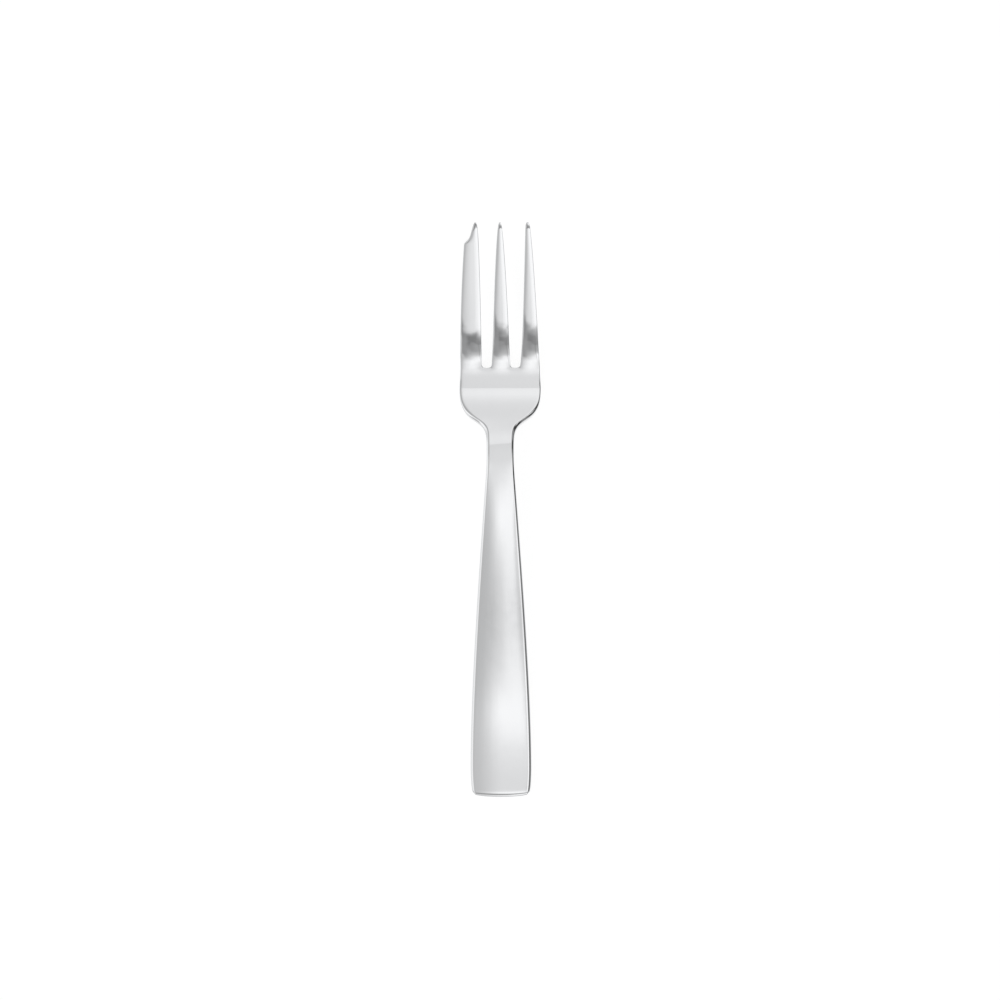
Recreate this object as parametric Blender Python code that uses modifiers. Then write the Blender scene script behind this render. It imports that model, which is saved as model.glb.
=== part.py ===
"""A dessert fork, stamped and pressed from one piece of stainless steel.

It has three tines, a wide left one with a notched point, a flat plate, a narrow neck and a handle
that widens to a blunt end. It lies on its back, as on a table: +Y runs from the handle's end to the
tips, +X is to the right when the hollow side is seen from above, and +Z is up.

The model follows the making: a flat blank with two slots, pressed to the side profile, with a gauge
of steel that changes along the fork and edges that are rounded all the way round.
"""

import bmesh
import bpy
from mathutils import Vector
from mathutils.geometry import interpolate_bezier

for leftover in list(bpy.data.objects):
    bpy.data.objects.remove(leftover)

# Lengths along the fork, in metres
HANDLE_LENGTH = 0.0869  # blunt end to the start of the neck
NECK_LENGTH = 0.0058  # the straight, narrowest stretch
SHOULDER_LENGTH = 0.0131  # neck to the widest place of the head
PLATE_LENGTH = 0.0066  # widest place to the round ends of the slots
TINE_LENGTH = 0.0378  # slot ends to the tips

# Widths of the outline
HANDLE_WIDTH = 0.0160
NECK_WIDTH = 0.0071
HEAD_WIDTH = 0.0214
HEAD_WAIST = 0.0006  # how much narrower the head is at the slot ends
WIDEST_FROM_END = 0.0080  # where the handle is widest
HANDLE_HOLD = 0.0205  # how far the handle's sides keep straight on from its widest place
TAPER_LENGTH = 0.0221  # the sides' last stretch before the neck
TAPER_WIDTH = 0.0106  # width that this stretch comes from
NECK_HOLD = 0.0070  # how far the outline keeps the neck's direction on its way to the head
HEAD_HOLD = 0.0097  # and how far back it keeps the direction of the head's side
END_BULGE = 0.0007  # how far the middle of the blunt end stands past its corners
END_TAPER = 0.0004  # how far each side comes in from the widest place to the blunt end
END_CORNER = 0.0003  # how far the blunt end's corners are drawn in, both ways

# Width of each tine at its root, throat, shank and tip, and how far its centre line has moved
# sideways at the throat, the shank and the tip
LEFT_TINE = {"widths": (0.0057, 0.0056, 0.0051, 0.0025), "moves": (-0.0002, 0.0, 0.0004)}
MIDDLE_TINE = {"widths": (0.0050, 0.0041, 0.0028, 0.0007), "moves": (0.0001, -0.0002, -0.0002)}
RIGHT_TINE = {"widths": (0.0052, 0.0039, 0.0023, 0.0010), "moves": (0.0003, -0.0002, -0.0006)}
THROAT_FROM_ROOT = 0.0076
SHANK_FROM_TIP = 0.0048
TIP_ROUND = 0.45  # share of a tip's width that its last row keeps

# The notch in the left tine's outer side, which leaves a barb below a narrow point
NOTCH_FROM_TIP = 0.0052
NOTCH_FILLET = 0.0018
NOTCH_DEPTH = 0.0011  # from the barb in to the point's side
POINT_WIDTH = 0.0009
POINT_FLARE = 0.0014  # how much the point widens from its tip down to the notch

# Thickness of the steel
HANDLE_THICKNESS = 0.00225
END_SWELL = 0.00055  # how much thicker the blunt end is than the handle
SWELL_LENGTH = 0.0220
NECK_THICKNESS = 0.0032
PLATE_THICKNESS = 0.0020
TIP_THICKNESS = 0.0012
HANDLE_TILT = 0.10  # slope of the handle's crowned front at its sides
TINE_CROWN = 0.0001  # how far a tine's front swells along its middle
EDGE_ROUND = 0.0010  # width of the rounding along the edges
ROUND_LIMIT = 0.3  # most of a tine's width that one rounding takes
EDGE_SHARE = 0.7  # height of the rim, as a share of the thickness inside it

# The side profile, as heights of the back above the table
REST_LENGTH = 0.0165  # flat stretch of the handle's end, which lies on the table
CREST_FROM_HANDLE = 0.0028  # how far into the neck the arch is highest
CREST_RISE = 0.0034
LOW_FROM_SLOTS = 0.0036  # how far into the plate the head lies on the table
TIP_RISE = 0.0113
TIP_SLOPE = 0.39

STEEL_COLOUR = (0.72, 0.725, 0.735, 1.0)
STEEL_ROUGHNESS = 0.2

TINES = (LEFT_TINE, MIDDLE_TINE, RIGHT_TINE)
HEAD = HANDLE_LENGTH + NECK_LENGTH + SHOULDER_LENGTH
SLOT_END = HEAD + PLATE_LENGTH
LENGTH = SLOT_END + TINE_LENGTH
ROOT_WIDTH = HEAD_WIDTH - HEAD_WAIST
CREST = HANDLE_LENGTH + CREST_FROM_HANDLE
LOWEST = SLOT_END - LOW_FROM_SLOTS

# Rows across the blank: even steps along the curves of the handle and the shoulder, a row in the
# middle of the plate, and rows up the tines, as shares of each stretch
CURVE_STEPS = 9
FINE_STEPS = 1000
PLATE_ROW = 0.45
END_ROW = 0.5  # between the blunt end and the widest place
PLAIN_TINE_ROWS = (0.09, 0.20, 0.34, 0.50, 0.64, 0.76, 0.86, 0.93, 0.975, 1.0)
BELOW_BARB_ROWS = (0.11, 0.30, 0.56, 0.82)
BARB_ROWS = (-0.0006, -0.0001, 0.0001, 0.0012)  # distances from the barb
ABOVE_BARB_ROWS = (0.74, 1.0)

# Columns along a tine: an edge, a rounding, a middle, a rounding and an edge
TINE_COLUMNS = 5


def mixed(start, end, share):
    return start + (end - start) * share


def eased(share):
    """A rise from 0 to 1 that starts and ends level, and stays level outside."""
    share = min(max(share, 0.0), 1.0)
    return share * share * (3 - 2 * share)


def bezier(controls):
    """Many points on the curve with these four control points."""
    return interpolate_bezier(*(Vector(control) for control in controls), FINE_STEPS + 1)


def even_rows(controls):
    """Distance along and half width at even steps of an outline's curve."""
    fine = bezier(controls)
    return [tuple(fine[round(step * FINE_STEPS / CURVE_STEPS)][:2]) for step in range(CURVE_STEPS + 1)]


def side_at(fine, along):
    """Where a side's curve is across the tine, at a distance from the tine's root."""
    return min(fine, key=lambda point: abs(point.x - along)).y


def body_rows():
    """Distance from the handle's end and half width of each row, up to the slot ends."""
    neck, widest, head, root = NECK_WIDTH / 2, HANDLE_WIDTH / 2, HEAD_WIDTH / 2, ROOT_WIDTH / 2
    handle = even_rows(
        (
            (WIDEST_FROM_END, widest),
            (WIDEST_FROM_END + HANDLE_HOLD, widest),
            (HANDLE_LENGTH - TAPER_LENGTH, TAPER_WIDTH / 2),
            (HANDLE_LENGTH, neck),
        )
    )
    shoulder_start = HANDLE_LENGTH + NECK_LENGTH
    shoulder = even_rows(
        (
            (shoulder_start, neck),
            (shoulder_start + NECK_HOLD, neck),
            (HEAD - HEAD_HOLD, head),
            (HEAD, head),
        )
    )
    end = [
        (along, widest - END_TAPER * (1 - along / WIDEST_FROM_END) ** 2)
        for along in (0.0, EDGE_ROUND, END_ROW * WIDEST_FROM_END)
    ]
    plate = [
        (mixed(HEAD, SLOT_END, PLATE_ROW), mixed(head, root, eased(PLATE_ROW))),
        (SLOT_END - EDGE_ROUND, root),
        (SLOT_END, root),
    ]
    return end + handle + shoulder + plate


def tine_roots():
    """Centre of each tine at its root: the slots share the width that the tines leave."""
    widths = [tine["widths"][0] for tine in TINES]
    slot = (ROOT_WIDTH - sum(widths)) / (len(TINES) - 1)
    return [
        sum(widths[:number]) + number * slot + width / 2 - ROOT_WIDTH / 2
        for number, width in enumerate(widths)
    ]


def notched_side(from_tip, tip_side):
    """The left tine's outer side above its barb: the point's slant, with a fillet into the barb."""
    into_fillet = max(from_tip - NOTCH_FROM_TIP + NOTCH_FILLET, 0.0) / NOTCH_FILLET
    return tip_side - POINT_FLARE * from_tip / NOTCH_FROM_TIP - NOTCH_DEPTH * into_fillet**2


def row_distances(tine):
    """Distance of each row of a tine from its root."""
    if tine is not LEFT_TINE:
        return [share * TINE_LENGTH for share in PLAIN_TINE_ROWS]
    barb = TINE_LENGTH - NOTCH_FROM_TIP
    below = [share * barb for share in BELOW_BARB_ROWS]
    above = [mixed(barb, TINE_LENGTH, share) for share in ABOVE_BARB_ROWS]
    return below + [barb + distance for distance in BARB_ROWS] + above


def tine_rows(number):
    """Distance from the handle's end, left side and right side of each row of a tine."""
    tine = TINES[number]
    centres = [tine_roots()[number] + move for move in (0.0, *tine["moves"])]
    stations = (0.0, THROAT_FROM_ROOT, TINE_LENGTH - SHANK_FROM_TIP, TINE_LENGTH)
    left_curve, right_curve = (
        bezier([(s, c + hand * w / 2) for s, c, w in zip(stations, centres, tine["widths"])])
        for hand in (-1, 1)
    )
    rows = []
    distances = row_distances(tine)
    for along in distances:
        left = side_at(left_curve, along)
        from_tip = TINE_LENGTH - along
        if tine is LEFT_TINE and from_tip < NOTCH_FROM_TIP:
            left = notched_side(from_tip, right_curve[-1].y - POINT_WIDTH)
        right = side_at(right_curve, along)
        if along == distances[-1]:
            left, right = (mixed((left + right) / 2, side, TIP_ROUND) for side in (left, right))
        rows.append((SLOT_END + along, left, right))
    return rows


def back_height(along):
    """Height of the fork's back above the table, at a distance from the handle's end."""
    if along <= CREST:
        return CREST_RISE * eased((along - REST_LENGTH) / (CREST - REST_LENGTH))
    if along <= LOWEST:
        return CREST_RISE * eased((LOWEST - along) / (LOWEST - CREST))
    reach = LENGTH - LOWEST
    share = (along - LOWEST) / reach
    square_part = 3 * TIP_RISE - TIP_SLOPE * reach
    return square_part * share**2 + (TIP_RISE - square_part) * share**3


def gauge(along):
    """Thickness of the steel inside its rounded edges."""
    if along <= HANDLE_LENGTH:
        swell = END_SWELL * max(1 - along / SWELL_LENGTH, 0.0) ** 2
        return mixed(HANDLE_THICKNESS, NECK_THICKNESS, eased(along / HANDLE_LENGTH)) + swell
    stations = (
        (HANDLE_LENGTH, NECK_THICKNESS),
        (HANDLE_LENGTH + NECK_LENGTH, NECK_THICKNESS),
        (HEAD, PLATE_THICKNESS),
        (SLOT_END, PLATE_THICKNESS),
        (LENGTH, TIP_THICKNESS),
    )
    for (start, thick), (end, next_thick) in zip(stations, stations[1:]):
        if along <= end:
            return mixed(thick, next_thick, (along - start) / (end - start))
    return TIP_THICKNESS


def columns_between(left, right):
    """The five columns of a tine between its two sides."""
    rounding = min(EDGE_ROUND, ROUND_LIMIT * (right - left))
    return [left, left + rounding, (left + right) / 2, right - rounding, right]


def body_place(row, column):
    """Across, along and thickness at a vertex of the handle, neck or plate."""
    along, half = BODY_ROWS[row]
    across = ROOT_COLUMNS[column] * (half - EDGE_ROUND) / (ROOT_WIDTH / 2 - EDGE_ROUND)
    at_side = column in (0, LAST_COLUMN)
    if at_side:
        across = half if column else -half
    share = across / half
    fade = eased((along - HANDLE_LENGTH) / (HEAD - HANDLE_LENGTH))
    thick = gauge(along) + HANDLE_TILT * half / 2 * (1 - fade) * (1 - share**2)
    in_slot = row == len(BODY_ROWS) - 1 and column % TINE_COLUMNS in (0, TINE_COLUMNS - 1)
    if at_side or in_slot or row == 0:
        thick *= EDGE_SHARE
    along += END_BULGE * share**2 * max(1 - along / WIDEST_FROM_END, 0.0)
    if row == 0 and at_side:
        across -= END_CORNER * share
        along += END_CORNER
    return across, along, thick


def tine_place(row, column):
    """Across, along and thickness at a vertex of a tine."""
    number, place = divmod(column, TINE_COLUMNS)
    along, left, right = TINE_ROWS[number][row]
    thick = gauge(along)
    if place in (0, TINE_COLUMNS - 1) or row == len(TINE_ROWS[number]) - 1:
        thick *= EDGE_SHARE
    elif place == TINE_COLUMNS // 2:
        thick += TINE_CROWN
    return columns_between(left, right)[place], along, thick


def blank():
    """The pressed sheet of the fork's back, as a bmesh, and the thickness at each vertex."""
    sheet = bmesh.new()
    last_row = len(BODY_ROWS) + len(PLAIN_TINE_ROWS) - 1
    bmesh.ops.create_grid(sheet, x_segments=LAST_COLUMN, y_segments=last_row, size=1)

    def cell(point):
        return (point.x + 1) / 2 * LAST_COLUMN, (point.y + 1) / 2 * last_row

    slots = []
    for face in sheet.faces:
        column, row = cell(face.calc_center_median())
        if row > len(BODY_ROWS) - 1 and int(column) % TINE_COLUMNS == TINE_COLUMNS - 1:
            slots.append(face)
    bmesh.ops.delete(sheet, geom=slots, context="FACES")
    sheet.verts.index_update()
    thicknesses = []
    for vertex in sheet.verts:
        column, row = (round(number) for number in cell(vertex.co))
        if row < len(BODY_ROWS):
            across, along, thick = body_place(row, column)
        else:
            across, along, thick = tine_place(row - len(BODY_ROWS), column)
        vertex.co = (across, along - LENGTH / 2, back_height(along))
        thicknesses.append(thick)
    return sheet, thicknesses


def steel():
    material = bpy.data.materials.new("polished_steel")
    material.use_nodes = True
    shader = material.node_tree.nodes["Principled BSDF"]
    shader.inputs["Base Color"].default_value = STEEL_COLOUR
    shader.inputs["Metallic"].default_value = 1.0
    shader.inputs["Roughness"].default_value = STEEL_ROUGHNESS
    return material


def fork():
    sheet, thicknesses = blank()
    mesh = bpy.data.meshes.new("fork")
    sheet.to_mesh(mesh)
    sheet.free()
    mesh.materials.append(steel())
    mesh.shade_smooth()
    piece = bpy.data.objects.new("fork", mesh)
    group = piece.vertex_groups.new(name="gauge")
    thickest = max(thicknesses)
    for index, thick in enumerate(thicknesses):
        group.add([index], thick / thickest, "REPLACE")
    solid = piece.modifiers.new("gauge", "SOLIDIFY")
    solid.thickness = thickest
    solid.offset = 1.0
    solid.vertex_group = group.name
    solid.use_even_offset = True
    rounded = piece.modifiers.new("rounded_edges", "SUBSURF")
    rounded.levels = rounded.render_levels = 1
    return piece


BODY_ROWS = body_rows()
TINE_ROWS = [tine_rows(number) for number in range(len(TINES))]
LAST_COLUMN = TINE_COLUMNS * len(TINES) - 1
ROOT_COLUMNS = [
    column
    for centre, tine in zip(tine_roots(), TINES)
    for column in columns_between(centre - tine["widths"][0] / 2, centre + tine["widths"][0] / 2)
]

parts = bpy.data.collections.new("dessert_fork")
bpy.context.scene.collection.children.link(parts)
parts.objects.link(fork())
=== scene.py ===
import bmesh
import bpy
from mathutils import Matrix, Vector
from mathutils.geometry import interpolate_bezier


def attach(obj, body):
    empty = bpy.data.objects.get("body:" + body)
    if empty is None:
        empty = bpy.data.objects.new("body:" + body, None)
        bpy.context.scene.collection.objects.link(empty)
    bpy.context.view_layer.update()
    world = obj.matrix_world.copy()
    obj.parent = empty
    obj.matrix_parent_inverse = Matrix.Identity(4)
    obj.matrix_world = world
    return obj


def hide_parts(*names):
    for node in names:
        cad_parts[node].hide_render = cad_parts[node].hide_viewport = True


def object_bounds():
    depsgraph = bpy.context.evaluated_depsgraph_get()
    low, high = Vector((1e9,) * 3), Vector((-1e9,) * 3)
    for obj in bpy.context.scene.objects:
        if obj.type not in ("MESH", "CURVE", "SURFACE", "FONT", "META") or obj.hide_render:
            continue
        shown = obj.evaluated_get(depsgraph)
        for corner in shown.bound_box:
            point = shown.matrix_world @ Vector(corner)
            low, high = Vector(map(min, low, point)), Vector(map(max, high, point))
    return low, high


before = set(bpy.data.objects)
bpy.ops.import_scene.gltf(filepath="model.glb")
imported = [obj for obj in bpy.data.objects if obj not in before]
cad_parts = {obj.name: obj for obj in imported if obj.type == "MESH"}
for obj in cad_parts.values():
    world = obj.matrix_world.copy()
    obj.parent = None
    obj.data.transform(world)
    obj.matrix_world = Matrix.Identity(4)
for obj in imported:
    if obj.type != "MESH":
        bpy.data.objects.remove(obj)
cad_low, cad_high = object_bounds()

# The fork: one blank of stainless steel, stamped with its two slots, pressed to its side profile,
# with its edges broken and the whole polished. It is modelled the same way: a sheet with slots is
# drawn out row by row to the outline and the profile, given its gauge, and smoothed.

# Lengths along the fork in metres, from the blunt end to the tips
HANDLE_LENGTH = 0.0869
NECK_LENGTH = 0.0058
SHOULDER_LENGTH = 0.0131
PLATE_LENGTH = 0.0066
SHOULDER = HANDLE_LENGTH + NECK_LENGTH
HEAD = SHOULDER + SHOULDER_LENGTH  # where the head is widest
SLOT_END = HEAD + PLATE_LENGTH
LENGTH = cad_high.y - cad_low.y
TINE_LENGTH = LENGTH - SLOT_END
END_Y = cad_low.y

# Widths of the outline
HANDLE_WIDTH = 0.0160
WIDEST = 0.0080  # where the handle is widest
HANDLE_HOLD = 0.0205  # how far the handle's sides keep straight on from there
TAPER_LENGTH = 0.0221  # the sides' last stretch before the neck
TAPER_WIDTH = 0.0106  # width that this stretch comes from
NECK_WIDTH = 0.0071
NECK_HOLD = 0.0070  # how far the outline keeps the neck's direction on its way to the head
HEAD_HOLD = 0.0097  # and how far back it keeps the direction of the head's side
HEAD_WIDTH = 0.0214
ROOT_WIDTH = 0.0208
END_BULGE = 0.00055  # how far the middle of the blunt end stands past its sides
BULGE_LENGTH = 0.0022
END_TAPER = 0.0005  # how far each side comes in from the widest place to the blunt end
END_CORNER = (0.00046, 0.0001)  # how far its corners are drawn in, on the first two rows

# Each tine's width at its root, throat, shank and tip, and how far its centre line moves sideways
LEFT_TINE = {"widths": (0.0057, 0.0056, 0.0051, 0.0025), "moves": (0.0, -0.0002, 0.0, 0.0004)}
MIDDLE_TINE = {"widths": (0.0050, 0.0041, 0.0028, 0.0007), "moves": (0.0, 0.0001, -0.0002, -0.0002)}
RIGHT_TINE = {"widths": (0.0052, 0.0039, 0.0023, 0.0010), "moves": (0.0, 0.0003, -0.0002, -0.0006)}
TINES = (LEFT_TINE, MIDDLE_TINE, RIGHT_TINE)
THROAT = 0.0076
SHANK_FROM_TIP = 0.0048
TIP_ROUND = 0.45  # share of a tip's width that its last row keeps

# The notch in the left tine's outer side, with the barb below it
NOTCH = 0.0052  # from the tip
NOTCH_FILLET = 0.0018
NOTCH_DEPTH = 0.0011
POINT_WIDTH = 0.0009
POINT_FLARE = 0.0014

# Gauge of the steel
HANDLE_GAUGE = 0.00225
END_SWELL = 0.00055  # how much thicker the blunt end is than the handle
SWELL_LENGTH = 0.0220
NECK_GAUGE = 0.0032
PLATE_GAUGE = 0.0020
TIP_GAUGE = 0.0012
TIP_FALL = (0.00002, 0.00021, 0.00036)  # how much thinner a tip's last three rows are

# The crowned front, with its slope at the sides of the handle and of the tines
END_TILT = 0.10  # at the blunt end
NECK_TILT = 0.13  # near the neck
CROWN_END = 0.0740  # where the handle's crown begins to fade
CROWN_FADE = 0.0160
NECK_TWIST = 0.00007  # how far the shoulder's left side is twisted down
TWIST_LENGTH = 0.0050
ROOT_TILT = 0.10  # at a tine's root
TINE_TILT = 0.05  # further up the tine
ROOT_LENGTH = 0.0080  # the length over which a tine comes to its own slope and edge
CROWN_LEAD = 0.0012  # how far below the slots' ends a tine's crown begins
CROWN_LENGTH = 0.0036  # the length over which it grows
ROOT_RISE = 0.00002  # how far a tine's front rises past the slots' ends
ROOT_DIP = 0.00001  # and dips again on one of its rows
ROOT_DIP_ROW = 1
ROOT_SKEW = 0.25  # how far aslant a tine's bend runs
ROOT_LEAN = 0.027  # how far its root leans over to the left
LEAN_LENGTH = 0.0120

# The broken edge round the front: its width, how steeply it falls, and how crisp its border is
HANDLE_EDGE = 0.0007
NECK_EDGE = 0.00055
HEAD_EDGE = 0.0003
ROOT_EDGE = 0.0003
TINE_EDGE = 0.00065
EDGE_SHARE = 0.3  # most of a tine's width that one edge takes
EDGE_FALL = 0.5
TINE_FALL = 0.22
SHOULDER_EDGE = 0.0007  # how much wider it is low on the shoulder
SHOULDER_FALL = 0.04  # and how much steeper
SHOULDER_SPOT = 0.42  # where on the shoulder, as a share of its length
SHOULDER_SPREAD = 0.42
END_EDGE = 0.0006
END_FALL = 0.0003
HANDLE_CREASE = 0.4
HEAD_CREASE = 0.35
END_CREASE = 0.1
RIM_CREASE = 0.45

# Heights of the back above the table
REST = 0.0165  # end of the stretch that lies on the table
CREST = 0.0897  # where the arch is highest
CREST_RISE = 0.0034
LOWEST = 0.1088  # where the head lies on the table
TIP_RISE = 0.0113
TIP_SLOPE = 0.39

# Rows across the blank, mostly as shares of a stretch, and columns along it
CURVE_STEPS = 9
FINE_STEPS = 1000
END_EDGE_ROW = 1  # where the blunt end's broken edge begins
END_ROWS = (0.3, 0.65)  # from the blunt end to the widest place
NECK_ROW = 0.5
PLATE_ROWS = (0.35, 0.7)
PLAIN_ROWS = (0.03, 0.06, 0.10, 0.17, 0.27, 0.40, 0.54, 0.68, 0.79, 0.87, 0.93, 0.96, 0.985, 1.0)
BELOW_BARB = (0.035, 0.07, 0.116, 0.20, 0.33, 0.66)
AT_BARB = (-0.0007, -0.0001, 0.0001, 0.0007, 0.0016)  # distances from the barb
ABOVE_BARB = (0.58, 0.845, 1.0)
CRISP_TINE_ROWS = 3  # how far up the tines the outer edges' border stays crisp
TINE_COLUMNS = 5
MIDDLE_SPOT = TINE_COLUMNS // 2  # of a tine's own columns
SIDE_SPOTS = (0, TINE_COLUMNS - 1)
LAST_COLUMN = TINE_COLUMNS * len(TINES) - 1
SIDE_COLUMNS = (0, LAST_COLUMN)
EDGE_COLUMNS = (1, LAST_COLUMN - 1)  # beside them, where the broken edge begins
SHEET_SIZE = 2.0  # of the plain grid that the blank starts as
SMOOTH_LEVELS = 3


def mixed(start, end, share):
    """The value at a share of the way from start to end."""
    return start + (end - start) * share


def eased(share):
    """A rise from 0 to 1 that starts and ends level, and stays level outside."""
    share = min(max(share, 0.0), 1.0)
    return share * share * (3 - 2 * share)


def bezier(*controls):
    """Many points on the curve with these four control points."""
    return interpolate_bezier(*(Vector(control) for control in controls), FINE_STEPS + 1)


def even_rows(*controls):
    """Distance along and half width at even steps of an outline's curve."""
    fine = bezier(*controls)
    return [tuple(fine[step * FINE_STEPS // CURVE_STEPS][:2]) for step in range(CURVE_STEPS + 1)]


def side_at(fine, along):
    """Where a side's curve is across the tine, at a distance from the tine's root."""
    return min(fine, key=lambda point: abs(point.x - along)).y


def body_rows():
    """Distance from the blunt end and half width of each row, up to the slots' ends."""
    neck, widest, head, root = NECK_WIDTH / 2, HANDLE_WIDTH / 2, HEAD_WIDTH / 2, ROOT_WIDTH / 2
    end = [
        (along, widest - END_TAPER * (1 - along / WIDEST) ** 2)
        for along in (0.0, END_EDGE, *(share * WIDEST for share in END_ROWS))
    ]
    handle = even_rows(
        (WIDEST, widest),
        (WIDEST + HANDLE_HOLD, widest),
        (HANDLE_LENGTH - TAPER_LENGTH, TAPER_WIDTH / 2),
        (HANDLE_LENGTH, neck),
    )
    middle = [(mixed(HANDLE_LENGTH, SHOULDER, NECK_ROW), neck)]
    shoulder = even_rows(
        (SHOULDER, neck),
        (SHOULDER + NECK_HOLD, neck),
        (HEAD - HEAD_HOLD, head),
        (HEAD, head),
    )
    plate = [
        (mixed(HEAD, SLOT_END, share), mixed(head, root, eased(share)))
        for share in PLATE_ROWS
    ]
    return end + handle + middle + shoulder + plate + [(SLOT_END - ROOT_EDGE, root), (SLOT_END, root)]


def tine_centres():
    """Centre of each tine at its root: the slots share the width that the tines leave."""
    widths = [tine["widths"][0] for tine in TINES]
    slot = (ROOT_WIDTH - sum(widths)) / (len(TINES) - 1)
    return [
        sum(widths[:number]) + number * slot + width / 2 - ROOT_WIDTH / 2
        for number, width in enumerate(widths)
    ]


def tine_rows(number):
    """Distance from the blunt end, left side and right side of each row of a tine."""
    tine = TINES[number]
    stations = zip(
        (0.0, THROAT, TINE_LENGTH - SHANK_FROM_TIP, TINE_LENGTH), tine["moves"], tine["widths"]
    )
    stations = [(along, tine_centres()[number] + move, width / 2) for along, move, width in stations]
    left_side = bezier(*((along, centre - half) for along, centre, half in stations))
    right_side = bezier(*((along, centre + half) for along, centre, half in stations))
    barb = TINE_LENGTH - NOTCH
    distances = [share * TINE_LENGTH for share in PLAIN_ROWS]
    if tine is LEFT_TINE:
        distances = [share * barb for share in BELOW_BARB]
        distances += [barb + step for step in AT_BARB]
        distances += [mixed(barb, TINE_LENGTH, share) for share in ABOVE_BARB]
    rows = []
    for along in distances:
        left = side_at(left_side, along)
        from_tip = TINE_LENGTH - along
        if tine is LEFT_TINE and from_tip < NOTCH:
            into_fillet = max(from_tip - NOTCH + NOTCH_FILLET, 0.0) / NOTCH_FILLET
            left = right_side[-1].y - POINT_WIDTH - POINT_FLARE * from_tip / NOTCH
            left -= NOTCH_DEPTH * into_fillet**2
        right = side_at(right_side, along)
        if along == distances[-1]:
            left, right = (mixed((left + right) / 2, side, TIP_ROUND) for side in (left, right))
        rows.append((SLOT_END + along, left, right))
    return rows


def back_height(along):
    """Height of the fork's back above the table, at a distance from the blunt end."""
    if along <= CREST:
        return CREST_RISE * eased((along - REST) / (CREST - REST))
    if along <= LOWEST:
        return CREST_RISE * eased((LOWEST - along) / (LOWEST - CREST))
    reach = LENGTH - LOWEST
    share = (along - LOWEST) / reach
    square_part = 3 * TIP_RISE - TIP_SLOPE * reach
    return square_part * share**2 + (TIP_RISE - square_part) * share**3


def gauge(along):
    """Thickness of the steel inside its broken edges."""
    if along <= HANDLE_LENGTH:
        swell = END_SWELL * max(1 - along / SWELL_LENGTH, 0.0) ** 2
        return mixed(HANDLE_GAUGE, NECK_GAUGE, eased(along / HANDLE_LENGTH)) + swell
    stations = (
        (HANDLE_LENGTH, NECK_GAUGE),
        (SHOULDER, NECK_GAUGE),
        (HEAD, PLATE_GAUGE),
        (SLOT_END, PLATE_GAUGE),
        (LENGTH, TIP_GAUGE),
    )
    for (start, thick), (end, next_thick) in zip(stations, stations[1:]):
        if along <= end:
            return mixed(thick, next_thick, (along - start) / (end - start))
    return TIP_GAUGE


def at_shoulder(along):
    """1 at the low spot of the shoulder, falling to 0 on both sides of it."""
    share = (along - SHOULDER) / SHOULDER_LENGTH
    return eased(share / SHOULDER_SPOT) * (1 - eased((share - SHOULDER_SPOT) / SHOULDER_SPREAD))


def neck_twist(along):
    """How far the front's sides are twisted at the neck and the shoulder."""
    grown = eased((along - HANDLE_LENGTH - NECK_LENGTH / 2) / TWIST_LENGTH)
    return NECK_TWIST * grown * (1 - eased((along - SHOULDER) / SHOULDER_LENGTH))


def edge_width(along):
    """Width of the broken edge along the handle, the neck and the plate."""
    if along <= SHOULDER:
        return mixed(HANDLE_EDGE, NECK_EDGE, eased(along / SHOULDER))
    plain = mixed(NECK_EDGE, HEAD_EDGE, eased((along - SHOULDER) / SHOULDER_LENGTH))
    return plain + SHOULDER_EDGE * at_shoulder(along)


def tine_crown(along, width):
    """How far a tine's front lies lower at its sides than along its middle."""
    tilt = mixed(ROOT_TILT, TINE_TILT, eased((along - SLOT_END) / ROOT_LENGTH))
    return tilt * width / 4 * eased((along - SLOT_END + CROWN_LEAD) / CROWN_LENGTH)


def tine_lean(along, offset):
    """How far a tine's front is raised beside its middle, by its lean and its slanting bend."""
    grown = eased((along - SLOT_END + CROWN_LEAD) / CROWN_LENGTH)
    skewed = back_height(along - ROOT_SKEW * offset) - back_height(along)
    return (ROOT_LEAN * offset + skewed) * grown * (1 - eased((along - SLOT_END) / LEAN_LENGTH))


def tine_edge(along, left, right):
    """Width of the broken edge along a tine."""
    edge = mixed(ROOT_EDGE, TINE_EDGE, eased((along - SLOT_END) / ROOT_LENGTH))
    return min(edge, EDGE_SHARE * (right - left))


def tine_fall(along, outer):
    """How steeply a tine's edge falls: the head's outer sides come to it slowly."""
    if not outer:
        return TINE_FALL
    return mixed(EDGE_FALL, TINE_FALL, eased((along - SLOT_END) / ROOT_LENGTH))


def tine_columns(left, right, edge):
    """The five columns of a tine between its two sides."""
    return [left, left + edge, (left + right) / 2, right - edge, right]


BODY_ROWS = body_rows()
TINE_ROWS = [tine_rows(number) for number in range(len(TINES))]
LAST_BODY_ROW = len(BODY_ROWS) - 1
LAST_ROW = LAST_BODY_ROW + len(PLAIN_ROWS)
HANDLE_ROWS = sum(along <= HANDLE_LENGTH for along, half in BODY_ROWS)
ROOT_COLUMNS = [
    column
    for centre, tine in zip(tine_centres(), TINES)
    for column in tine_columns(
        centre - tine["widths"][0] / 2, centre + tine["widths"][0] / 2, HEAD_EDGE
    )
]


def column_across(column, along, half):
    """Where a column is across the fork: even on the handle, in line with the tines on the plate."""
    if column in SIDE_COLUMNS:
        return half if column else -half
    even = 2 * (column - 1) / (LAST_COLUMN - 2) - 1
    in_line = ROOT_COLUMNS[column] / (ROOT_WIDTH / 2 - HEAD_EDGE)
    share = mixed(even, in_line, eased((along - SHOULDER) / SHOULDER_LENGTH))
    return (half - edge_width(along)) * share


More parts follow.
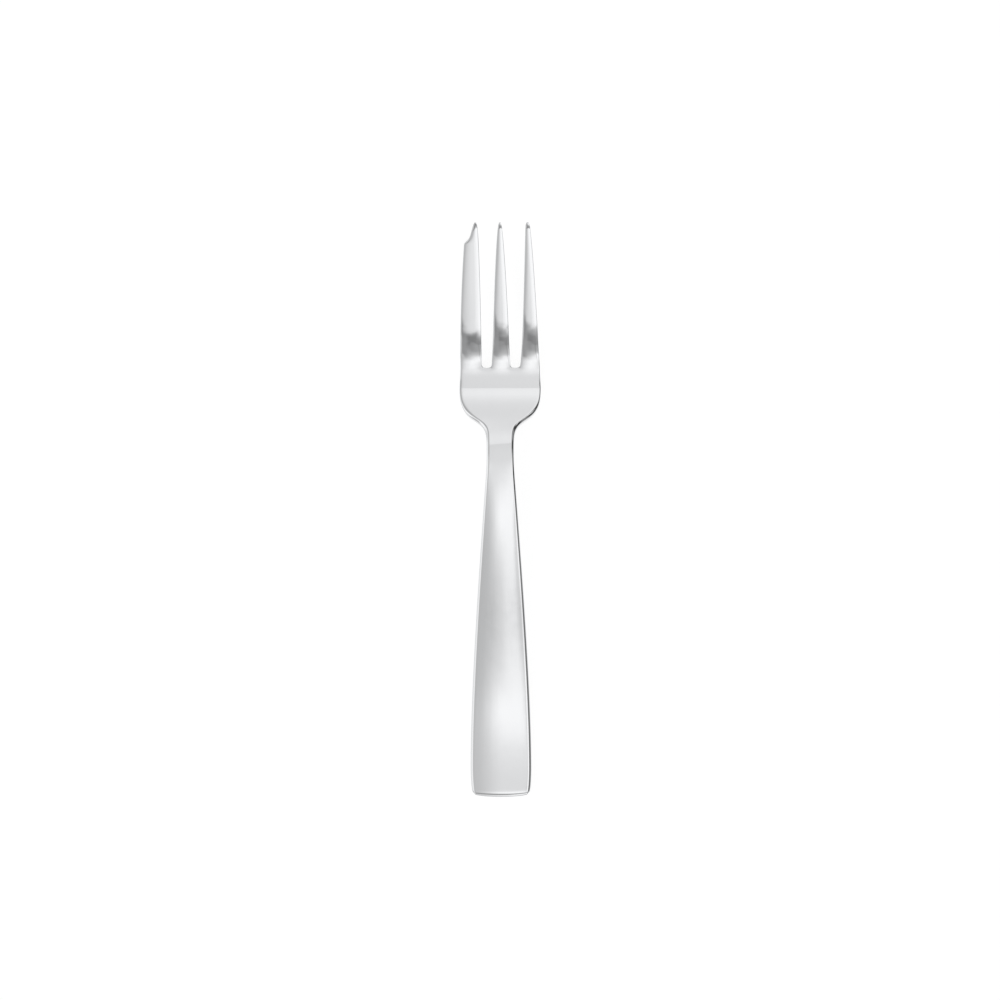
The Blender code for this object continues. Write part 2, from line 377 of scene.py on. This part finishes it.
def front_crown(along, half, share):
    """How far the front stands over its gauge, at a share of the half width from the middle."""
    tilt = mixed(END_TILT, NECK_TILT, eased(along / CROWN_END))
    tilt *= 1 - eased((along - CROWN_END) / CROWN_FADE)
    rise = END_TILT * (1 - eased((along - HANDLE_LENGTH) / (HEAD - HANDLE_LENGTH)))
    return (rise - tilt * share**2) * half / 2


def body_thickness(row, column):
    """Thickness of the handle, neck or plate at a vertex of the sheet."""
    along, half = BODY_ROWS[row]
    share = column_across(column, along, half) / half
    thick = gauge(along) + front_crown(along, half, share) + neck_twist(along) * share
    number, spot = divmod(column, TINE_COLUMNS)
    if spot != MIDDLE_SPOT:
        thick -= tine_crown(along, TINES[number]["widths"][0])
    thick += tine_lean(along, ROOT_COLUMNS[column] - tine_centres()[number])
    if column in SIDE_COLUMNS:
        thick -= (EDGE_FALL + SHOULDER_FALL * at_shoulder(along)) * edge_width(along)
    elif row == LAST_BODY_ROW and spot in SIDE_SPOTS:
        thick -= TINE_FALL * ROOT_EDGE
    if row == 0:
        thick -= END_FALL
    return thick


bpy.ops.object.select_all(action="DESELECT")
bpy.ops.mesh.primitive_grid_add(
    x_subdivisions=LAST_COLUMN, y_subdivisions=LAST_ROW, size=SHEET_SIZE
)
fork = bpy.context.object
fork.name = fork.data.name = "polished_fork"
bpy.ops.object.mode_set(mode="EDIT")


def pick(rows, columns):
    """Selects the sheet's vertices in these rows and columns."""
    sheet = bmesh.from_edit_mesh(fork.data)
    for vertex in sheet.verts:
        row, column = divmod(vertex.index, LAST_COLUMN + 1)
        vertex.select = row in rows and column in columns
    sheet.select_flush_mode()
    bmesh.update_edit_mesh(fork.data)


def place(row, column, across, along):
    """Moves one vertex of the sheet from the plain grid to its place on the fork's back."""
    start_x = SHEET_SIZE * (column / LAST_COLUMN - 0.5)
    start_y = SHEET_SIZE * (row / LAST_ROW - 0.5)
    pick((row,), (column,))
    bpy.ops.transform.translate(
        value=(across - start_x, END_Y + along - start_y, back_height(along))
    )


# The slots are cut out of the sheet
bpy.ops.mesh.select_mode(type="FACE")
sheet = bmesh.from_edit_mesh(fork.data)
for face in sheet.faces:
    centre = face.calc_center_median()
    column = int((centre.x / SHEET_SIZE + 0.5) * LAST_COLUMN)
    row = (centre.y / SHEET_SIZE + 0.5) * LAST_ROW
    face.select = row > LAST_BODY_ROW and column % TINE_COLUMNS == TINE_COLUMNS - 1
bmesh.update_edit_mesh(fork.data)
bpy.ops.mesh.delete(type="FACE")
bpy.ops.mesh.select_mode(type="VERT")

# The handle, neck and plate are drawn out, and their thickness is noted
gauges = {}
for row, (along, half) in enumerate(BODY_ROWS):
    for column in range(LAST_COLUMN + 1):
        across = column_across(column, along, half)
        bulge = END_BULGE * (across / half) ** 2 * max(1 - along / BULGE_LENGTH, 0.0)
        if column in SIDE_COLUMNS and row < len(END_CORNER):
            inset = END_CORNER[row]
            across -= inset if column else -inset
            bulge += inset
        elif row == 0 and column in EDGE_COLUMNS:
            bulge += END_CORNER[1]
        place(row, column, across, along + bulge)
        gauges[row, column] = body_thickness(row, column)

# So are the tines
for number, rows in enumerate(TINE_ROWS):
    for step, (along, left, right) in enumerate(rows):
        row = LAST_BODY_ROW + 1 + step
        edge = tine_edge(along, left, right)
        for spot, across in enumerate(tine_columns(left, right, edge)):
            column = number * TINE_COLUMNS + spot
            thick = gauge(along) + ROOT_RISE + tine_lean(along, across - (left + right) / 2)
            if spot != MIDDLE_SPOT:
                thick -= tine_crown(along, right - left)
            if spot in SIDE_SPOTS:
                thick -= tine_fall(along, column in SIDE_COLUMNS) * edge
            if step == ROOT_DIP_ROW:
                thick -= ROOT_DIP
            if row > LAST_ROW - len(TIP_FALL):
                thick -= TIP_FALL[row - LAST_ROW - 1]
            place(row, column, across, along)
            gauges[row, column] = thick

# The border between the front and its broken edge is crisp
for rows, crease in (
    (range(HANDLE_ROWS), HANDLE_CREASE),
    (range(HANDLE_ROWS - 1, LAST_BODY_ROW + 1 + CRISP_TINE_ROWS), HEAD_CREASE),
):
    for column in EDGE_COLUMNS:
        pick(rows, (column,))
        bpy.ops.transform.edge_crease(value=crease)
pick((END_EDGE_ROW,), range(1, LAST_COLUMN))
bpy.ops.transform.edge_crease(value=END_CREASE)
bpy.ops.object.mode_set(mode="OBJECT")

# The sheet gets its gauge and is smoothed
group = fork.vertex_groups.new(name="gauge")
thickest = max(gauges.values())
for vertex in fork.data.vertices:
    thick = gauges[divmod(vertex.index, LAST_COLUMN + 1)]
    group.add([vertex.index], thick / thickest, "REPLACE")
solid = fork.modifiers.new("gauge", "SOLIDIFY")
solid.thickness = thickest
solid.offset = 1.0
solid.vertex_group = group.name
solid.use_even_offset = True
solid.edge_crease_outer = RIM_CREASE
smooth = fork.modifiers.new("smoothed", "SUBSURF")
smooth.levels = smooth.render_levels = SMOOTH_LEVELS
for modifier in (solid, smooth):
    bpy.ops.object.modifier_apply(modifier=modifier.name)
fork.vertex_groups.clear()
bpy.ops.object.shade_smooth()

# The finish: bright steel with fine lines of polish along the fork. The tines are smoother than the
# handle, and slightly wavy where they bend up from the plate.
STEEL_COLOUR = (0.775, 0.78, 0.79, 1.0)
POLISH_HEIGHT = 0.0000012
WAVE_HEIGHT = 0.00006
BODY_WAVES = 0.1  # share of the waves' height that the handle and the plate have
TIP_WAVES = 0.15  # and that the tines keep past their bend
BEND_END = 0.0080  # from the slots' ends
BEND_FADE = 0.0070
GLOSS = (0.05, 0.11)  # least and most roughness of the handle
TINE_SMOOTHNESS = 0.4  # how much of that roughness the tines lose


def combine(tree, operation, first, second):
    """The result of an operation on two sockets, or on a socket and a number."""
    node = tree.nodes.new("ShaderNodeMath")
    node.operation = operation
    for socket, value in zip(node.inputs, (first, second)):
        if isinstance(value, float):
            socket.default_value = value
        else:
            tree.links.new(value, socket)
    return node.outputs["Value"]


def rescale(tree, value, start, end, low, high):
    """Takes a socket's values from start to end over to low to high, and keeps them there outside."""
    node = tree.nodes.new("ShaderNodeMapRange")
    for name, number in zip(("From Min", "From Max", "To Min", "To Max"), (start, end, low, high)):
        node.inputs[name].default_value = number
    tree.links.new(value, node.inputs["Value"])
    return node.outputs["Result"]


def grain(tree, places, scale, stretch, detail, shift=0.0):
    """Noise in the steel, drawn out along the fork."""
    turned = tree.nodes.new("ShaderNodeMapping")
    turned.inputs["Location"].default_value = (shift, 0.0, 0.0)
    turned.inputs["Scale"].default_value = (scale, scale * stretch, scale)
    tree.links.new(places, turned.inputs["Vector"])
    noise = tree.nodes.new("ShaderNodeTexNoise")
    noise.inputs["Scale"].default_value = 1.0
    noise.inputs["Detail"].default_value = detail
    tree.links.new(turned.outputs["Vector"], noise.inputs["Vector"])
    return noise.outputs["Fac"]


steel = bpy.data.materials.new("polished_steel")
steel.use_nodes = True
tree = steel.node_tree
shader = tree.nodes["Principled BSDF"]
shader.inputs["Base Color"].default_value = STEEL_COLOUR
shader.inputs["Metallic"].default_value = 1.0
places = tree.nodes.new("ShaderNodeTexCoord").outputs["Object"]
polish = grain(tree, places, scale=2400.0, stretch=0.03, detail=3.0)
waves = grain(tree, places, scale=320.0, stretch=0.8, detail=1.0, shift=67.7)
axes = tree.nodes.new("ShaderNodeSeparateXYZ")
tree.links.new(places, axes.inputs["Vector"])
roots = END_Y + SLOT_END
on_tines = rescale(tree, axes.outputs["Y"], roots, roots + ROOT_LENGTH, BODY_WAVES, 1.0)
bend_end = roots + BEND_END
past_bend = rescale(tree, axes.outputs["Y"], bend_end, bend_end + BEND_FADE, 1.0, TIP_WAVES)
waviness = tree.nodes.new("ShaderNodeBump")
waviness.inputs["Distance"].default_value = WAVE_HEIGHT
tree.links.new(combine(tree, "MULTIPLY", on_tines, past_bend), waviness.inputs["Strength"])
tree.links.new(waves, waviness.inputs["Height"])
lines = tree.nodes.new("ShaderNodeBump")
lines.inputs["Distance"].default_value = POLISH_HEIGHT
tree.links.new(polish, lines.inputs["Height"])
tree.links.new(waviness.outputs["Normal"], lines.inputs["Normal"])
tree.links.new(lines.outputs["Normal"], shader.inputs["Normal"])
kept = combine(tree, "SUBTRACT", 1.0, combine(tree, "MULTIPLY", on_tines, TINE_SMOOTHNESS))
roughness = combine(tree, "MULTIPLY", rescale(tree, polish, 0.0, 1.0, *GLOSS), kept)
tree.links.new(roughness, shader.inputs["Roughness"])
fork.data.materials.append(steel)

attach(fork, "root")
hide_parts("fork")

# The table top: a plain, matt white surface that the fork lies on and casts its soft shadow on.
# It is a sheet just under the fork, lit from within so that it stays white in the steel too.
TABLE_SIZE = 6.0
TABLE_GAP = 0.00005
TABLE_GREY = (0.28, 0.28, 0.28, 1.0)
TABLE_WHITE = 0.84  # what it shows to the camera and to the steel, over its own grey
bpy.ops.object.select_all(action="DESELECT")
bpy.ops.mesh.primitive_plane_add(size=TABLE_SIZE, location=(0.0, 0.0, -TABLE_GAP))
table = bpy.context.object
table.name = "table_top"
white = bpy.data.materials.new("white_table")
white.use_nodes = True
tree = white.node_tree
shader = tree.nodes["Principled BSDF"]
shader.inputs["Base Color"].default_value = TABLE_GREY
shader.inputs["Roughness"].default_value = 1.0
shader.inputs["Specular IOR Level"].default_value = 0.0
shader.inputs["Emission Color"].default_value = (1.0, 1.0, 1.0, 1.0)
ray = tree.nodes.new("ShaderNodeLightPath")
shown = ray.outputs["Is Camera Ray"]
for kind in ("Is Glossy Ray", "Is Transmission Ray"):
    shown = combine(tree, "MAXIMUM", shown, ray.outputs[kind])
whiteness = combine(tree, "MULTIPLY", shown, TABLE_WHITE)
tree.links.new(whiteness, shader.inputs["Emission Strength"])
table.data.materials.append(white)

# The studio: a tent of soft white light over the table, with grey and black cards round it that the
# polished steel mirrors. It is painted on the world, as levels of light by the direction they come
# from: rightward across the fork, tipward along it, and upward.
world = bpy.data.worlds.new("studio")
bpy.context.scene.world = world
world.use_nodes = True
tree = world.node_tree


def ramp(value, stops):
    """A level for each value of a socket, straight between stops of a value and its level."""
    start, end = stops[0][0], stops[-1][0]
    spread = rescale(tree, value, start, end, 0.0, 1.0)
    levels = tree.nodes.new("ShaderNodeValToRGB")
    elements = levels.color_ramp.elements
    at_first = len(elements)  # a new ramp has some of its own
    for number, (stop, level) in enumerate(stops):
        share = (stop - start) / (end - start)
        element = elements[number] if number < at_first else elements.new(share)
        element.position = share
        element.color = (level, level, level, 1.0)
    tree.links.new(spread, levels.inputs["Fac"])
    return levels.outputs["Color"]


def mix(share, first, second):
    """A mix of two levels, each from a socket or a number."""
    node = tree.nodes.new("ShaderNodeMix")
    node.data_type = "RGBA"
    tree.links.new(share, node.inputs["Factor"])
    colours = [socket for socket in node.inputs if socket.type == "RGBA"]
    for socket, value in zip(colours, (first, second)):
        if isinstance(value, float):
            socket.default_value = (value, value, value, 1.0)
        else:
            tree.links.new(value, socket)
    return next(socket for socket in node.outputs if socket.type == "RGBA")


direction = tree.nodes.new("ShaderNodeSeparateXYZ")
tree.links.new(tree.nodes.new("ShaderNodeTexCoord").outputs["Generated"], direction.inputs["Vector"])
rightward, tipward, upward = direction.outputs

# Overhead, in bands across the fork that run aslant over its head
OVERHEAD = (
    (-0.75, 1.00), (-0.53, 0.97), (-0.45, 0.93), (-0.20, 0.85), (-0.18, 0.85), (-0.165, 0.93),
    (-0.15, 1.03), (-0.125, 1.19), (-0.11, 1.23), (-0.10, 1.22), (-0.075, 1.165), (-0.047, 1.03),
    (-0.02, 0.92), (0.0, 0.895), (0.1, 0.9), (0.262, 0.885), (0.275, 1.05), (0.40, 1.08), (0.50, 1.08),
    (0.565, 1.03), (0.61, 0.975), (0.65, 0.93), (0.70, 0.90), (0.75, 0.89),
)
SLANT = ((-0.5, 0.0), (0.0, 0.0), (0.2, 0.2), (0.5, 0.2))
aslant = combine(tree, "MULTIPLY", rightward, ramp(tipward, SLANT))
overhead = ramp(combine(tree, "SUBTRACT", tipward, aslant), OVERHEAD)

# A grey card on the left, with a soft border for the handle and a softer one for the tines
AT_HANDLE = ((-0.5, 0.0), (-0.34, 0.0), (-0.22, 1.0), (0.0, 1.0))  # 0 is what the tines mirror
LEFT_HANDLE = (
    (-0.50, 0.0), (-0.22, 0.0), (-0.19, 0.08), (-0.15, 0.14), (-0.12, 0.33), (-0.075, 0.58),
    (-0.06, 0.73), (0.0, 1.0),
)
LEFT_TINES = (
    (-0.50, 0.0), (-0.36, 0.08), (-0.25, 0.24), (-0.17, 0.5), (-0.12, 0.62), (-0.073, 0.78),
    (-0.04, 0.89), (0.0, 1.0),
)
LEFT_LEVEL = (
    (-0.75, 0.64), (-0.62, 0.62), (-0.53, 0.545), (-0.40, 0.58), (-0.36, 0.67), (-0.32, 0.78),
    (-0.27, 0.78), (-0.22, 0.62), (-0.15, 0.59), (-0.09, 0.64), (0.02, 0.64), (0.09, 0.46), (0.5, 0.51),
    (0.75, 0.51),
)
at_handle = ramp(tipward, AT_HANDLE)
left_share = mix(at_handle, ramp(rightward, LEFT_TINES), ramp(rightward, LEFT_HANDLE))
sky = mix(left_share, ramp(tipward, LEFT_LEVEL), overhead)

# A bright panel on the right, with a grey strip in it, and dimmer towards the tips. Its border is soft
# for the rising handle and the tines, and crisp for the handle's level ends.
AT_ENDS = ((-0.2, 0.0), (-0.09, 0.0), (-0.055, 0.5), (-0.034, 0.85), (-0.01, 1.0), (0.0, 1.0))
RIGHT_HANDLE = (
    (0.0, 0.0), (0.02, 0.15), (0.04, 0.36), (0.065, 0.54), (0.09, 0.65), (0.145, 0.7), (0.175, 0.45),
    (0.19, 0.9), (0.25, 1.0), (1.0, 1.0),
)
RIGHT_ENDS = ((0.0, 0.0), (0.165, 0.0), (0.19, 0.9), (0.25, 1.0), (1.0, 1.0))
RIGHT_TINES = ((0.0, 0.0), (0.06, 0.1), (0.10, 0.5), (0.25, 1.0), (1.0, 1.0))
RIGHT_LEVEL = ((0.0, 1.2), (0.165, 1.2), (0.19, 0.82), (0.215, 0.84), (0.26, 1.22), (1.0, 1.22))
TINE_PANEL = 1.22
RIGHT_SHADE = ((-0.5, 1.0), (-0.02, 1.0), (0.03, 0.72), (0.2, 0.72), (0.28, 1.0), (0.5, 1.0))
right_share = mix(ramp(tipward, AT_ENDS), ramp(rightward, RIGHT_HANDLE), ramp(rightward, RIGHT_ENDS))
right_share = mix(at_handle, ramp(rightward, RIGHT_TINES), right_share)
right = mix(at_handle, TINE_PANEL, ramp(rightward, RIGHT_LEVEL))
right = mix(ramp(tipward, RIGHT_SHADE), 0.0, right)
sky = mix(right_share, sky, right)

# A dark card in the corner that the head's right edge mirrors
HEAD_SIDE = ((-0.5, 0.0), (0.05, 0.0), (0.14, 1.0), (0.5, 1.0))
HEAD_EDGES = ((0.0, 0.0), (0.28, 0.0), (0.42, 1.0), (1.0, 1.0))
CORNER_CARD = 0.16
at_head_edge = combine(tree, "MINIMUM", ramp(tipward, HEAD_SIDE), ramp(rightward, HEAD_EDGES))
sky = mix(at_head_edge, sky, CORNER_CARD)

# A dark band across the tent that the tines mirror at their bend, softer on its left
DARK = (
    (-0.75, 1.0), (-0.425, 1.0), (-0.41, 0.85), (-0.395, 0.62), (-0.38, 0.48), (-0.36, 0.38),
    (-0.34, 0.29), (-0.305, 0.28), (-0.295, 0.38), (-0.26, 0.43), (-0.243, 0.52), (-0.225, 0.63),
    (-0.2, 0.85), (-0.188, 1.0), (0.0, 1.0),
)
LEFT_DARK = (
    (-0.75, 1.0), (-0.425, 1.0), (-0.41, 0.85), (-0.395, 0.62), (-0.38, 0.48), (-0.36, 0.44),
    (-0.34, 0.41), (-0.305, 0.43), (-0.26, 0.47), (-0.225, 0.51), (-0.21, 0.55), (-0.2, 0.59),
    (-0.19, 0.70), (-0.18, 0.87), (-0.172, 1.0), (0.0, 1.0),
)
DARK_SLANT = 0.1
LEFTMOST = ((-0.5, 1.0), (-0.09, 1.0), (-0.02, 0.0), (0.0, 0.0))
PAST_DARK = ((-0.5, 1.0), (-0.38, 1.0), (-0.25, 0.0), (0.0, 0.0))
slanted = combine(tree, "SUBTRACT", tipward, combine(tree, "MULTIPLY", rightward, DARK_SLANT))
shade = mix(ramp(rightward, LEFTMOST), ramp(slanted, DARK), ramp(slanted, LEFT_DARK))
shade = mix(ramp(rightward, PAST_DARK), shade, 1.0)
sky = mix(shade, 0.0, sky)

# The tent's walls, all round from the right through the tips' side, in a high and a low ring
HALF_TURN = 3.1416
HIGH_WALLS = (
    (-HALF_TURN, 1.15), (-2.2, 1.2), (-1.7, 0.6), (-1.2, 0.55), (-0.8, 0.4), (-0.6, 0.3), (-0.5, 0.16),
    (-0.42, 0.05), (0.3, 0.05), (0.36, 0.2), (0.44, 0.42), (1.2, 0.3), (1.7, 0.3), (2.0, 0.7),
    (2.6, 0.75), (2.85, 1.1), (HALF_TURN, 1.15),
)
LOW_WALLS = (
    (-HALF_TURN, 1.05), (-2.9, 1.0), (-2.65, 0.6), (-1.7, 0.6), (-1.2, 0.55), (-0.8, 0.4), (-0.4, 0.3),
    (-0.16, 0.2), (-0.11, 0.23), (-0.05, 0.26), (0.0, 0.14), (0.2, 0.08), (0.6, 0.1), (1.2, 0.3),
    (1.7, 0.3), (2.0, 0.7), (2.6, 0.75), (2.85, 0.95), (HALF_TURN, 1.05),
)
HIGH_RING = ((0.0, 0.0), (0.5, 0.0), (0.54, 1.0), (1.0, 1.0))
BELOW_TOP = ((0.0, 1.0), (0.62, 1.0), (0.70, 0.0), (1.0, 0.0))
turn = combine(tree, "ARCTAN2", tipward, rightward)
walls = mix(ramp(upward, HIGH_RING), ramp(turn, LOW_WALLS), ramp(turn, HIGH_WALLS))
sky = mix(ramp(upward, BELOW_TOP), sky, walls)

# A grey band along the foot of the walls, and white below it
FOOT_LEVEL = ((0.0, 1.0), (0.06, 1.0), (0.14, 0.6), (1.0, 0.6))
AT_FOOT = ((0.0, 1.0), (0.28, 1.0), (0.38, 0.0), (1.0, 0.0))
sky = mix(ramp(upward, AT_FOOT), sky, ramp(upward, FOOT_LEVEL))
tree.links.new(sky, tree.nodes["Background"].inputs["Color"])
bpy.context.scene.view_settings.view_transform = "Standard"

# The camera looks straight down on the fork through a long lens, from a little to the tips' side of
# its middle. It is turned a trace, because the fork lies a trace aslant in the picture.
FRAME_WIDTH = 0.2622  # of the table that the picture shows
LENS = 150.0
SENSOR = 36.0
CAMERA_X = -0.0001
CAMERA_Y = 0.00265
CAMERA_TURN = -0.0026
bpy.ops.object.camera_add()
camera = bpy.context.object
camera.data.lens = LENS
camera.data.sensor_width = SENSOR
camera.location = (CAMERA_X, CAMERA_Y, FRAME_WIDTH * LENS / SENSOR)
camera.rotation_euler = (0.0, 0.0, CAMERA_TURN)
bpy.context.scene.camera = camera
